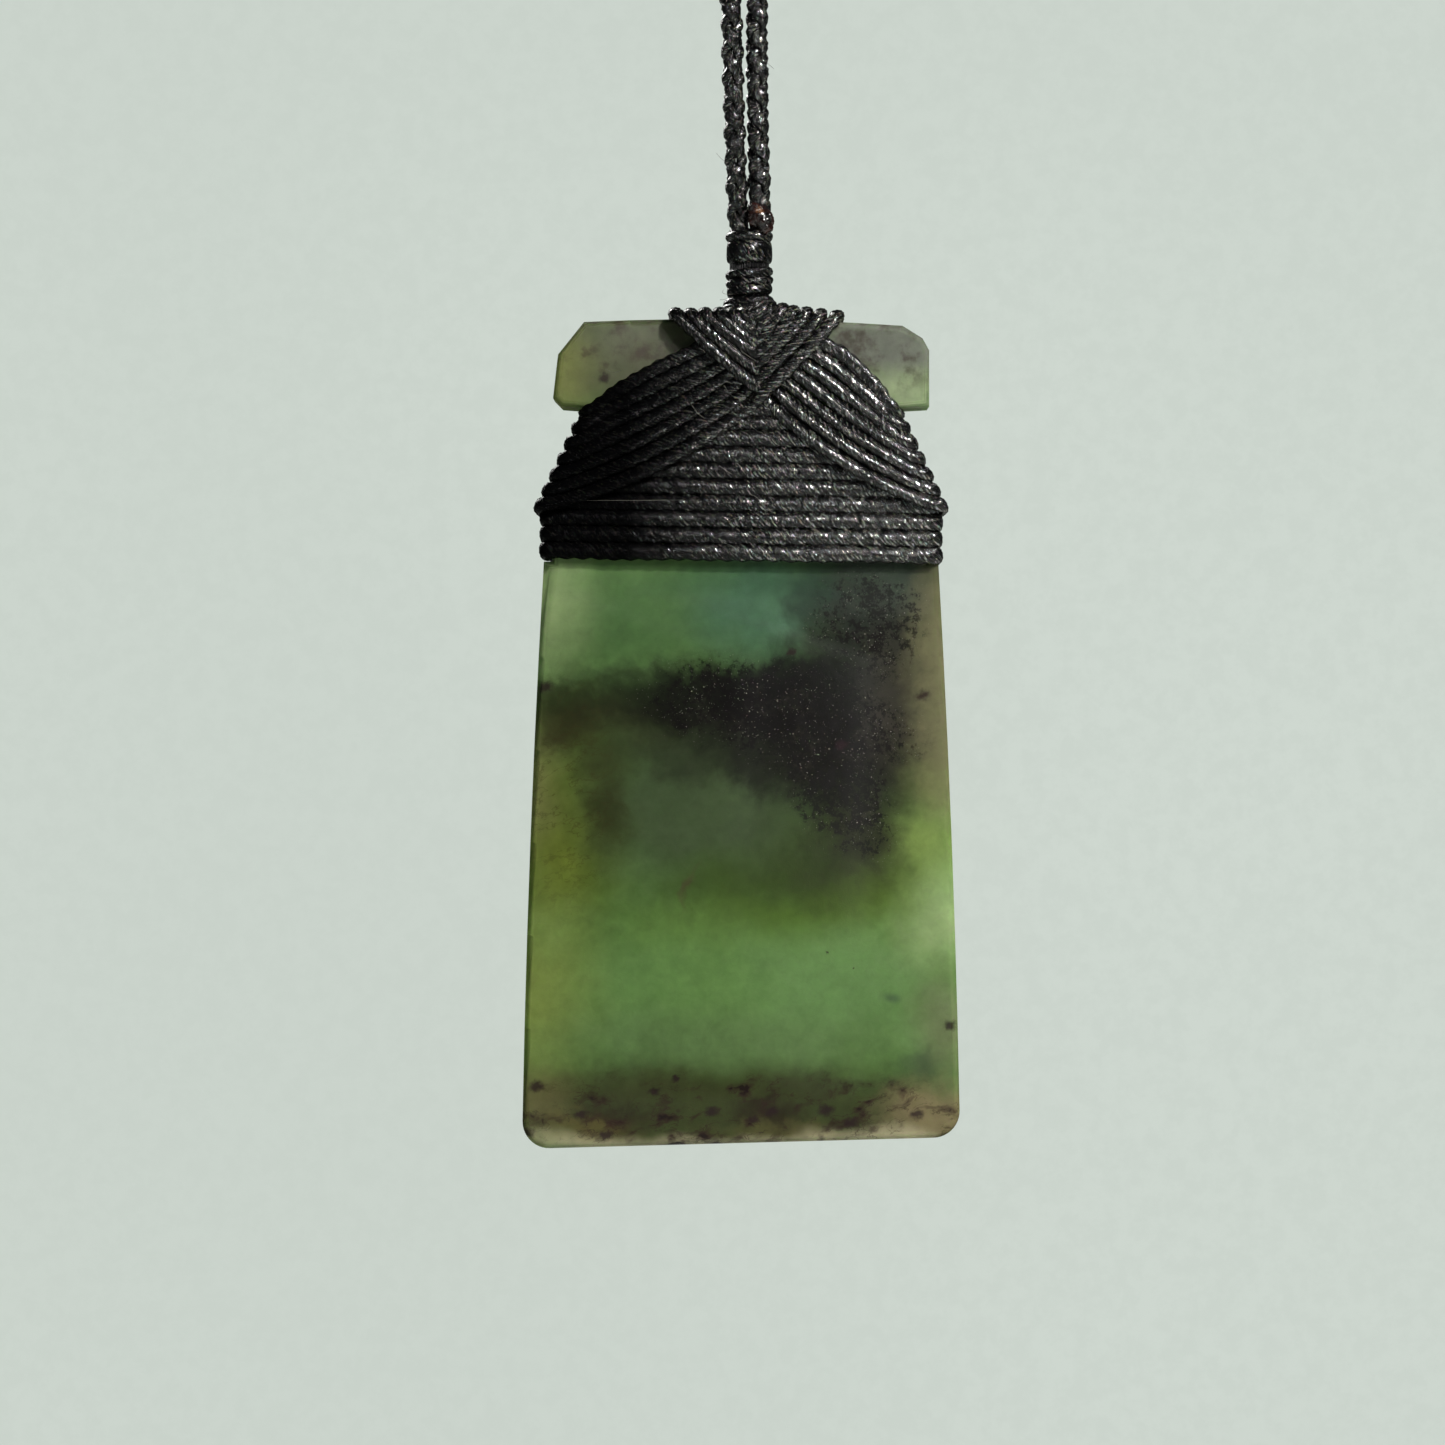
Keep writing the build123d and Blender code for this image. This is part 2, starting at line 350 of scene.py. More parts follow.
cordLook = {
    "fibreScale": 6.0, "stretch": 0.16, "fleckLevel": 0.53, "paintedGlintShare": 0.36, "shadedSideGlintShare": 0.03,
    "tint": 0.32,
    "dark": shown(1, 1, 1), "worn": shown(4, 4, 5), "paintedGlintColour": shown(168, 168, 156),
    # painted light: the first two numbers on the next line give where, in metres across, the cord goes from
    # painted shade to painted light
    "shadedSideFrom": -0.0088, "litSideFrom": 0.0072,
    "shadedSideShine": 0.01, "shine": 0.4, "waxShine": 2.6, "glintTint": 0.22, "glassiness": 1.75,
    "roughness": 0.16, "waxRoughness": 0.1, "bump": 1.0, "bumpDepth": 0.000075,
}
braidLook = {
    **cordLook, "fibreScale": 8.0, "paintedGlintShare": 0.22, "shadedSideFrom": -0.006, "litSideFrom": 0.0005,
    "shadedSideShine": 0.2, "shine": 0.34, "waxShine": 1.7, "bumpDepth": 0.00005,
}
lashingBlack = makeCordMaterial("lashingBlack", cordLook)
braidBlack = makeCordMaterial("braidBlack", braidLook)
print("cord materials made")


# Waist winding: one cord that goes round the throat nine times, falling a little to the right.
# Its first turn lies under the cross turns, so eight are seen.

throat = {"half": 10.65, "flareFrom": 7.9, "flareHeight": 5.7, "flareBy": 2.75}
waist = {
    "turns": 9, "lowest": -16.1, "pitch": 1.15, "frontFall": 0.39, "halfDepth": 3.22, "bow": 0.22,
    "corner": 0.9, "firstUnder": 0.3, "wander": 0.035, "offStone": 0.45, "halfFace": 0.33,
    "cord": {"width": 1.22, "depth": 0.9, "sides": 14, "plies": 3, "plyDepth": 0.1, "twist": 3.4,
             "uneven": 0.04, "square": 0.85},
    "spacing": 0.17,
}


def sideOfStone(height):
    share = min(1.0, max(0.0, (-height - throat["flareFrom"]) / throat["flareHeight"]))
    return throat["half"] + share * throat["flareBy"]


def waistReach(height):
    return sideOfStone(height - waist["halfFace"]) + waist["offStone"]


def waistRoute(look):
    route = []
    c, bow = look["corner"], look["bow"]
    for turn in range(look["turns"]):
        depth = look["halfDepth"] - (look["firstUnder"] if turn == 0 else 0.0)
        left = look["lowest"] + look["pitch"] * (look["turns"] - 1 - turn)
        right = left - look["frontFall"]
        nextLeft = left - look["pitch"]
        w = waistReach((left + right) / 2)
        wander = rng.uniform(-look["wander"], look["wander"], 8)
        front = [(-w, 0, left), (-w, -depth + c, left), (-w, -depth, left), (-w + c, -depth - 0.1, left)]
        for number, share in enumerate((-0.62, -0.3, 0.0, 0.3, 0.62)):
            z = left + (right - left) * (share + 1) / 2 + wander[number]
            front.append((share * w, -depth - bow * (1 - share * share), z))
        front += [(w - c, -depth - 0.1, right), (w, -depth, right), (w, -depth + c, right), (w, 0, right)]
        back = [(w, depth - c, right), (w, depth, right), (w - c, depth + 0.1, right)]
        for share in (0.5, 0.0, -0.5):
            z = right + (nextLeft - right) * (1 - share) / 2
            back.append((share * w, depth + bow * (1 - share * share), z))
        low = waistReach(nextLeft)
        back += [(-low + c, depth + 0.1, nextLeft), (-low, depth, nextLeft), (-low, depth - c, nextLeft)]
        route += front + back
    # the tail runs level along the back, and tucks in under the turn above
    last = look["lowest"] - look["frontFall"]
    route = route[:-6]
    tail = [(3.0, bow, 0.0), (-2.0, bow, 0.05), (-7.0, 0.1, 0.2), (-9.5, -0.3, 0.55)]
    route += [(x, depth + out, last + up) for x, out, up in tail]
    return route


line = guideLine([put(*p) for p in waistRoute(waist)], False, waist["spacing"])
outs = unitRows(np.cross(tangentsOf(line, False), (0.0, 0.0, 1.0)))
waistWinding = twistedCord("waist_winding", line, False, None, waist["cord"], lashingBlack, outs)
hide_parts(*[f"waist_turn_{n + 1}" for n in range(8)])
print("waist winding made")


# Cross turns: seven each way, over the top of the stone and down to the sides, back and front alike.
# The left ones lie on top in the left half of the V, and the right ones in the right half.

crossing = {
    # across and up, where each turn goes over the top, outermost first
    "ridgeLeft": [(-4.64, 0.68), (-3.57, 0.70), (-2.57, 0.72), (-1.55, 0.74), (-0.66, 0.76), (0.2, 0.82),
                  (1.0, 0.9)],
    "ridgeRight": [(6.8, 0.5), (5.64, 0.64), (4.64, 0.76), (3.71, 0.87), (2.93, 1.05), (2.05, 1.25),
                   (1.5, 1.3)],
    "seam": 1.57,
    "seamHeights": [-5.07, -3.79, -2.64, -1.93, -1.14, -0.36, 0.35],
    # where the turns come out at the far side of the V, outermost and innermost
    "leaveLeft": [(2.36, -6.07), (6.71, -1.86)],
    "leaveRight": [(-0.1, -6.5), (-3.5, -2.15)],
    "sideLow": -12.95, "sideHigh": -6.5,
    "sagLow": -1.0, "sagHigh": 0.35,
    "upper": 4.0, "lower": 3.27, "overWaist": 4.12,  # distances from the stone's middle plane
    "waistTop": -7.65, "climbRun": 0.9,  # a turn climbs on to the waist winding over this height
    "topRound": 0.7, "topDrop": 0.35, "sideRound": 1.1,  # bends over the top and round the sides
    "dive": {1: (-0.95, -0.15), -1: (0.25, 1.05)},  # where left and right turns go down at the seam
    "cord": {"width": 1.06, "depth": 0.76, "sides": 12, "plies": 3, "plyDepth": 0.1, "twist": 3.0,
             "uneven": 0.04, "square": 0.9},
    "outer": 1.08,  # the outermost turn is this much thicker
    "squeezed": 0.88,  # and a turn this much narrower until it's past the seam
    "halfCord": 0.35, "offStone": 0.4, "offWaist": 0.36, "spacing": 0.15,
}


def crossReach(height):
    under = height - crossing["halfCord"]
    if under > crossing["waistTop"]:
        return sideOfStone(height) + crossing["offStone"]
    return waistReach(under) + crossing["offWaist"]


def climbShare(height, ahead):
    return min(1.0, max(0.0, (crossing["waistTop"] + ahead - height) / crossing["climbRun"]))


def crossRoute(number, side):
    look = crossing
    ridgeX, ridgeZ = look["ridgeLeft" if side > 0 else "ridgeRight"][number]
    share = number / 6
    seam = np.array([look["seam"], look["seamHeights"][number]])
    outer, inner = (np.array(p) for p in look["leaveLeft" if side > 0 else "leaveRight"])
    leave = between(outer, inner, share)
    endZ = between(look["sideLow"], look["sideHigh"], share)
    end = np.array([side * crossReach(endZ), endZ])
    sag = between(look["sagLow"], look["sagHigh"], share)
    start = np.array([ridgeX, ridgeZ - look["topDrop"]])
    slant = seam - start
    reach = np.linalg.norm(slant)
    slant = slant / reach
    points = [(ridgeX, 0.0, ridgeZ), (ridgeX, -2.0, ridgeZ + 0.03),
              (ridgeX, -look["upper"] + look["topRound"], ridgeZ),
              (ridgeX + slant[0] * 0.15, -look["upper"], ridgeZ - 0.2)]
    if reach > 2.4:
        for step in (0.35, 0.68):
            at = start + slant * reach * step
            points.append((at[0], -look["upper"], at[1]))
    before, after = look["dive"][side]  # a left turn dives before the seam, and a right one after it
    onward = (leave - seam) / np.linalg.norm(leave - seam)
    for step, depth in ((before, look["upper"]), (after, look["lower"])):
        at = seam + (slant if step < 0 else onward) * step
        points.append((at[0], -depth, at[1]))
    points.append((leave[0], -look["lower"], leave[1]))
    for step in (0.25, 0.5, 0.75):
        at = between(leave, end, step)
        z = at[1] + sag * 4 * step * (1 - step)
        points.append((at[0], -between(look["lower"], look["overWaist"], climbShare(z, 0.9)), z))
    edge = between(look["lower"], look["overWaist"] - 0.1, climbShare(endZ, 0.6))
    tilt = (end[1] - points[-1][2]) / max(1.0, abs(end[0] - points[-1][0]))
    points += [(end[0] - side * look["sideRound"], -edge, endZ - tilt * 0.9), (end[0], -edge, endZ),
               (end[0], -edge + look["sideRound"], endZ - 0.05), (end[0], 0.0, endZ - 0.05)]
    back = [(x, -y, z) for x, y, z in reversed(points[1:-1])]
    return points + back


for side, word in ((1, "left"), (-1, "right")):
    for number in range(7):
        cord = dict(crossing["cord"])
        if number == 0:
            cord["width"] *= crossing["outer"]
            cord["depth"] *= crossing["outer"]
        line = guideLine([put(*p) for p in crossRoute(number, side)], True, crossing["spacing"])
        past = side * (line[:, 0] * 1000 + neckShift - crossing["seam"])  # millimetres past the seam
        squeeze = between(crossing["squeezed"], 1, np.clip((past + 0.3) / 1.8, 0, 1))
        turn = twistedCord(f"cross_cord_{word}_{number + 1}", line, True, (0, 0, 1), cord, lashingBlack,
                           None, squeeze)
        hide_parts(f"cross_turn_{word}_{number + 1}")

# a turn tucked in under the crossing closes the gap above the waist winding, front and back
tucked = [(-5.5, 3.15, -6.9), (-2.0, 3.2, -6.3), (1.4, 3.25, -6.1), (4.5, 3.2, -6.35), (8.0, 3.15, -7.0)]
for word, way, lower in (("front", -1, 0.0), ("back", 1, 0.42)):
    line = guideLine([put(x, way * y, z - lower) for x, y, z in tucked], False, 0.17)
    under = twistedCord(f"tucked_cord_{word}", line, False, (0, way, 0), crossing["cord"], lashingBlack)
print("cross turns made")


# Neck: the cord is whipped round the two braids, over a black core

thinCord = {
    "width": 0.84, "depth": 0.76, "sides": 14, "plies": 3, "plyDepth": 0.06, "twist": 2.6, "uneven": 0.04,
    "square": 0.85,
}
neckLook = {
    "middle": neckShift,
    "bands": {
        # rise gives the cord's height at each share of its turns
        "neck_band_upper": {
            "rise": ((0, 5.22), (0.42, 5.3), (0.58, 6.36), (1, 6.42)), "turns": 2.0, "start": 1.57,
            "wide": (1.3, 1.26), "deep": (1.14, 1.1), "narrowed": 0.55,
            "cord": {"width": 1.72, "depth": 0.8, "sides": 18, "plies": 4, "plyDepth": 0.035, "twist": 4.6,
                     "uneven": 0.03, "square": 0.7},
        },
        "neck_band_lower": {
            "rise": ((0, 2.25), (1, 4.0)), "turns": 3.0, "start": 1.57,
            "wide": (1.3, 1.28), "deep": (1.14, 1.12), "narrowed": 1.0,
            "cord": {**thinCord, "width": 0.9, "uneven": 0.05, "square": 0.8},
        },
        "neck_root": {
            "rise": ((0, 1.0), (1, 1.8)), "turns": 2.0, "start": 1.57,
            "wide": (1.75, 1.4), "deep": (1.8, 1.3), "narrowed": 1.0,
            "cord": thinCord,
        },
    },
    "core": {"radius": 1.4, "flat": 0.86, "from": 0.9, "to": 6.65, "rounding": 0.25},
}


def bandRoute(look):
    count = round(look["turns"] * 12)
    route = []
    for step in range(count + 1):
        share = step / count
        angle = look["start"] + share * look["turns"] * 2 * math.pi
        wide, deep = between(*look["wide"], share), between(*look["deep"], share)
        tuck = 1 - 0.3 * max(0.0, 1 - 12 * min(share, 1 - share))  # both ends are tucked in
        z = float(np.interp(share, *zip(*look["rise"])))
        route.append((neckLook["middle"] + wide * tuck * math.cos(angle), deep * tuck * math.sin(angle), z))
    return route


for node, look in neckLook["bands"].items():
    line = guideLine([put(*p) for p in bandRoute(look)], False, 0.14)
    out = (math.cos(look["start"]), math.sin(look["start"]), 0)
    # the cord narrows from its first turn to its last, and at its cut ends
    narrowing = np.interp(np.linspace(0, 1, len(line)), (0, 0.04, 0.45, 0.6, 0.97, 1),
                          (0.85, 1, 1, look["narrowed"], look["narrowed"], look["narrowed"] * 0.7))
    band = twistedCord(node.replace("neck_", "whipping_"), line, False, out, look["cord"], lashingBlack,
                       None, narrowing)
    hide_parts(node)


def makeNeckCore():
    look = neckLook["core"]
    bpy.ops.object.select_all(action="DESELECT")
    height = (look["to"] - look["from"]) / 1000
    middle = put(neckLook["middle"], 0, (look["from"] + look["to"]) / 2)
    bpy.ops.mesh.primitive_cylinder_add(vertices=48, radius=look["radius"] / 1000, depth=height,
                                        location=middle)
    core = bpy.context.object
    core.name = "whipping_core"
    core.scale = (1.0, look["flat"], 1.0)
    bpy.ops.object.transform_apply(location=True, rotation=True, scale=True)
    bpy.ops.object.mode_set(mode="EDIT")
    bpy.ops.mesh.select_all(action="SELECT")
    bpy.ops.mesh.bevel(offset=look["rounding"] / 1000, segments=3, affect="EDGES")
    bpy.ops.object.mode_set(mode="OBJECT")
    bpy.ops.object.shade_smooth()
    core.data.materials.append(coreBlack)
    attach(core, "root")


def makeCoreMaterial():
    material, tree, shader, at = newMaterial("coreBlack")
    lump = noiseNode(tree, at, 2400.0, 3.0, 0.6).outputs[0]
    feed(tree, shader, {
        "Base Color": mixColour(tree, lump, shown(6, 6, 7), shown(18, 18, 19)),
        "Roughness": rangeNode(tree, lump, 0.3, 0.7, 0.5, 0.75),
        "Normal": bumpNode(tree, 0.6, 0.0001, lump),
    })
    return material


coreBlack = makeCoreMaterial()
makeNeckCore()
print("neck made")


# Braid: four strands, two winding each way round the same line, each passing over and under the others

braid = {
    # out from the pair's middle, up from the whipping, and how far the pair leans left there
    "route": [(0.77, 0.05, 0.0), (0.84, 7.5, 0.24), (0.92, 19.5, 0.45), (3.4, 38.0, 0.3),
              (11.5, 66.0, 0.0), (27.0, 111.5, 0.0), (43.5, 160.0, 0.0), (55.0, 206.0, 0.0),
              (56.5, 244.0, 0.0), (44.0, 278.0, 0.0), (18.0, 297.0, 0.0)],
    "foot": 6.95,  # top of the whipping
    "repeat": 3.86,  # a strand's full turn round the braid
    "tucked": (0.64, -1.3, 0.0),  # the strands run on into the whipping
    "middleRadius": {-1: 0.46, 1: 0.36}, "sway": 0.2,
    "turnRight": 36.0, "turnLeft": 0.0,
    "cord": {"width": 0.93, "depth": 0.56, "sides": 10, "plies": 3, "plyDepth": 0.1, "twist": 2.4,
             "uneven": 0.05},
    "broad": {-1: 1.12, 1: 0.84},
    "spacing": 0.17,
}


def braidLine(look):
    route = [look["tucked"]] + look["route"]
    right = [put(neckShift - lean + x, 0, look["foot"] + z) for x, z, lean in route]
    left = [put(neckShift - lean - x, 0, look["foot"] + z) for x, z, lean in reversed(route)]
    return guideLine(right + left, False, look["spacing"])


def braidStrand(look, line, way, half):
    tangents = tangentsOf(line, False)
    deepWays = np.tile([0.0, 1.0, 0.0], (len(line), 1))
    crossWays = np.cross(deepWays, tangents)
    along = distancesAlong(line) * 1000
    gained = look["turnLeft"] - look["turnRight"]
    turned = np.radians(look["turnRight"] + gained * along / along[-1])
    theta = way * 2 * math.pi * along / look["repeat"] + half * math.pi
    radius = (look["middleRadius"][way] + way * look["sway"] * np.cos(2 * theta)) / 1000
    angle = theta + turned
    outs = crossWays * np.cos(angle)[:, None] + deepWays * np.sin(angle)[:, None]
    return line + outs * radius[:, None], outs


line = braidLine(braid)
for number, (way, half) in enumerate(((1, 0), (1, 1), (-1, 0), (-1, 1))):
    path, outs = braidStrand(braid, line, way, half)
    ahead = tangentsOf(path, False)
    outs = unitRows(outs - ahead * np.sum(outs * ahead, axis=1)[:, None])
    cord = {**braid["cord"], "width": braid["cord"]["width"] * braid["broad"][way]}
    strand = twistedCord(f"braid_strand_{number + 1}", path, False, None, cord, braidBlack, outs)
    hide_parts("neck_braid")
print("braid made")


# Singed end: a melted drop of cord that leans on the right braid

singed = {
    "at": (1.36, -1.05, 7.5), "half": (0.82, 0.5, 1.2), "taper": -0.55, "lean": -18,
    "lumps": {"lumps": (0.0011, 0.0008), "wrinkles": (0.0004, 0.00026)},  # size and depth, metres
    "glowAt": (1.33, -1.42, 8.15), "black": (8, 5, 5), "brown": (46, 18, 13), "amber": (150, 104, 62),
    "gloss": 0.6, "glossRoughness": 0.12,
}


def makeSingedMaterial(look):
    material, tree, shader, at = newMaterial("meltedBrown")
    blotch = noiseNode(tree, at, 900.0, 3.0, 0.6).outputs[0]
    pits = noiseNode(tree, at, 2600.0, 2.0, 0.6).outputs[0]
    gap = vectorNode(tree, "DISTANCE", at, put(*look["glowAt"])).outputs["Value"]
    glow = rangeNode(tree, gap, 0.00005, 0.0004, 0.7, 0.0)
    glow = timesNode(tree, glow, rangeNode(tree, pits, 0.35, 0.6))
    burnt = rangeNode(tree, blotch, 0.35, 0.65)
    brown = mixColour(tree, burnt, shown(*look["black"]), shown(*look["brown"]))
    feed(tree, shader, {
        "Base Color": mixColour(tree, glow, brown, shown(*look["amber"])),
        "Roughness": rangeNode(tree, pits, 0.3, 0.7, 0.12, 0.34),
        "Normal": bumpNode(tree, 0.7, 0.00012, pits),
        "Coat Weight": look["gloss"], "Coat Roughness": look["glossRoughness"],
    })
    return material


def makeSingedEnd(look):
    bpy.ops.object.select_all(action="DESELECT")
    bpy.ops.mesh.primitive_uv_sphere_add(segments=64, ring_count=44, radius=0.001,
                                         location=put(*look["at"]))
    drop = bpy.context.object
    drop.name = "singed_drop"
    drop.scale = look["half"]
    bpy.ops.object.transform_apply(location=False, rotation=False, scale=True)
    narrowing = drop.modifiers.new("narrowing", "SIMPLE_DEFORM")  # narrow at the braid, spread at the foot
    narrowing.deform_method = "TAPER"
    narrowing.deform_axis = "Z"
    narrowing.factor = look["taper"]
    bpy.ops.object.modifier_apply(modifier="narrowing")
    drop.rotation_euler = (0, math.radians(look["lean"]), 0)
    bpy.ops.object.transform_apply(location=True, rotation=True, scale=True)
    for word, (scale, strength) in look["lumps"].items():
        texture = bpy.data.textures.new(word, "CLOUDS")
        texture.noise_scale = scale
        lumps = drop.modifiers.new(word, "DISPLACE")
        lumps.texture = texture
        lumps.texture_coords = "LOCAL"
        lumps.strength = strength
        lumps.mid_level = 0.5
        bpy.ops.object.modifier_apply(modifier=word)
    bpy.ops.object.shade_smooth()
    drop.data.materials.append(makeSingedMaterial(look))
    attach(drop, "root")
    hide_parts("singed_end")


makeSingedEnd(singed)
print("singed end made")


# Loose fibres: thin hairs that lie over the cords, stand off the braid or fray from the whipping

hairLook = {
    "drawn": [
        [(-12.0, -3.95, -12.62), (-8.2, -4.15, -12.66), (-4.1, -4.2, -12.6)],
        [(-0.5, -1.0, 2.2), (-1.1, -0.9, 2.15), (-1.4, -0.8, 2.35), (-1.2, -0.7, 2.6)],
        [(-0.6, -1.0, 2.0), (-1.2, -0.9, 1.75), (-1.5, -0.9, 1.8)],
        [(1.4, -0.4, 19.1), (1.85, -0.4, 18.75), (2.35, -0.4, 18.3)],
        [(-1.0, -0.5, 11.6), (-1.5, -0.5, 11.9), (-1.75, -0.4, 12.3)],
        [(-12.9, -3.6, -15.3), (-13.7, -3.3, -14.8), (-14.3, -3.0, -14.9)],
    ],
    "scattered": 18, "across": (-11, 12), "up": (-15.5, -1.0), "angle": (-0.9, 0.5),
    "length": (0.5, 1.5), "bend": (-0.3, 0.3), "lift": (0.0, 0.1), "radius": 0.013,
    "onWaist": 4.0, "onCross": 4.35,  # distances from the stone's middle plane
    "dark": (16, 16, 15), "light": (92, 90, 80), "roughness": 0.35,
}


def makeLooseFibres(look):
    routes = list(look["drawn"])
    for _ in range(look["scattered"]):
        x, z = rng.uniform(*look["across"]), rng.uniform(*look["up"])
        angle = rng.uniform(*look["angle"])
        length = rng.uniform(*look["length"])
        bend = rng.uniform(*look["bend"])
        crossed = z > -9 and abs(x) < 11 - max(0, -z - 8) * 0.6
        depth = look["onCross" if crossed else "onWaist"]
        step = np.array([math.cos(angle), 0, math.sin(angle)]) * length / 3
        middle = np.array([x, -depth - rng.uniform(*look["lift"]), z])
        # the far tip goes down to the cords, and the middle two points carry the bend
        bends = {-1: (0, 0, 0), 0: (0, 0, bend), 1: (0, 0, bend), 2: (0, 0.1, 0)}
        routes.append([tuple(middle + step * k + np.array(bends[k])) for k in bends])
    curve = bpy.data.curves.new("loose_fibres", "CURVE")
    curve.dimensions = "3D"
    curve.bevel_depth = look["radius"] / 1000
    curve.bevel_resolution = 1
    curve.use_fill_caps = True
    for route in routes:
        addSpline(curve, [put(*point) for point in route], False, 8)
    fibres = addObject("loose_fibres", curve)
    pickOnly(fibres)
    bpy.ops.object.convert(target="MESH")
    material, tree, shader, at = newMaterial("looseFibre")
    tone = rangeNode(tree, noiseNode(tree, at, 400.0, 2.0, 0.6).outputs[0], 0.35, 0.65)
    grey = mixColour(tree, tone, shown(*look["dark"]), shown(*look["light"]))
    feed(tree, shader, {"Base Color": grey, "Roughness": look["roughness"]})
    fibres.data.materials.append(material)
    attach(fibres, "root")


makeLooseFibres(hairLook)
print("loose fibres made")
